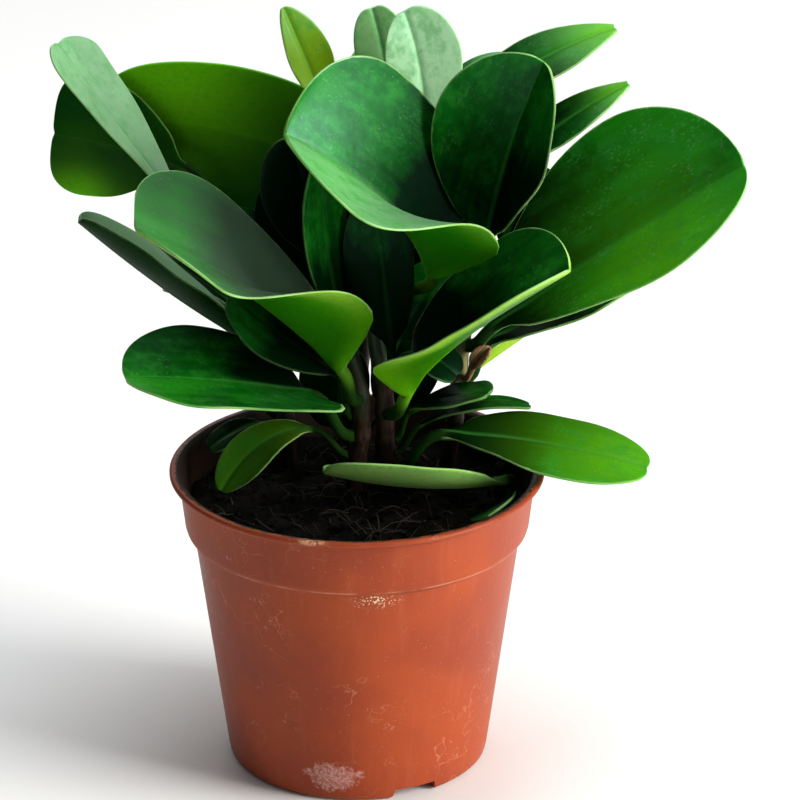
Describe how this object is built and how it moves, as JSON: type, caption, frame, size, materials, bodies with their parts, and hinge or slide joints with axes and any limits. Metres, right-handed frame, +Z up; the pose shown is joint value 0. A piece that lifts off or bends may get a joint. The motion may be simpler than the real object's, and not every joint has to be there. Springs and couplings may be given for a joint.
{
  "type": "potted peperomia",
  "caption": "Bushy potted peperomia: thick, glossy, cupped green leaves on short brown stems in peat, in a round terracotta-coloured plastic nursery pot with a deep collar.",
  "frame": {"origin": "middle of the pot's standing face", "axes": "+Z up along the pot's axis, -Y towards the front, where the big cupped leaves lean out, +X to the right as seen from the front"},
  "size_m": [0.2194, 0.1569, 0.2432],
  "materials": {
    "pot": "satin",
    "soil": "rough and crumbly",
    "stem": "satin",
    "leaf": "glossy, waxy",
    "bract": "dry and matt"
  },
  "bodies": {
    "root": {"bract": "bract", "leaf_back_pale_left": "leaf", "leaf_back_pale_right": "leaf", "leaf_back_tip": "leaf", "leaf_centre_dark": "leaf", "leaf_centre_left": "leaf", "leaf_centre_low_left": "leaf", "leaf_centre_low_right": "leaf", "leaf_centre_rear_left": "leaf", "leaf_centre_rear_right": "leaf", "leaf_centre_shade": "leaf", "leaf_centre_strip": "leaf", "leaf_centre_teal": "leaf", "leaf_far_left": "leaf", "leaf_front_big": "leaf", "leaf_front_low": "leaf", "leaf_front_upright": "leaf", "leaf_left_cup": "leaf", "leaf_left_edge": "leaf", "leaf_left_low": "leaf", "leaf_left_pale": "leaf", "leaf_left_shade": "leaf", "leaf_left_top": "leaf", "leaf_left_under": "leaf", "leaf_pot_dim": "leaf", "leaf_pot_left": "leaf", "leaf_pot_right": "leaf", "leaf_rear_high_left": "leaf", "leaf_rear_high_right": "leaf", "leaf_rear_left": "leaf", "leaf_rear_low_left": "leaf", "leaf_rear_low_middle": "leaf", "leaf_rear_low_right": "leaf", "leaf_rear_middle": "leaf", "leaf_rear_right": "leaf", "leaf_rear_upright": "leaf", "leaf_right_big": "leaf", "leaf_right_cup": "leaf", "leaf_right_dark": "leaf", "leaf_right_hanging": "leaf", "leaf_right_high": "leaf", "leaf_right_lime": "leaf", "leaf_right_low": "leaf", "leaf_right_sliver": "leaf", "leaf_right_small": "leaf", "leaf_right_top": "leaf", "leaf_right_under": "leaf", "leaf_side_left": "leaf", "leaf_side_right": "leaf", "pot": "pot", "soil": "soil", "stem_back": "stem", "stem_front": "stem", "stem_left": "stem", "stem_middle": "stem", "stem_outer": "stem", "stem_right": "stem"}
  },
  "joints": []
}
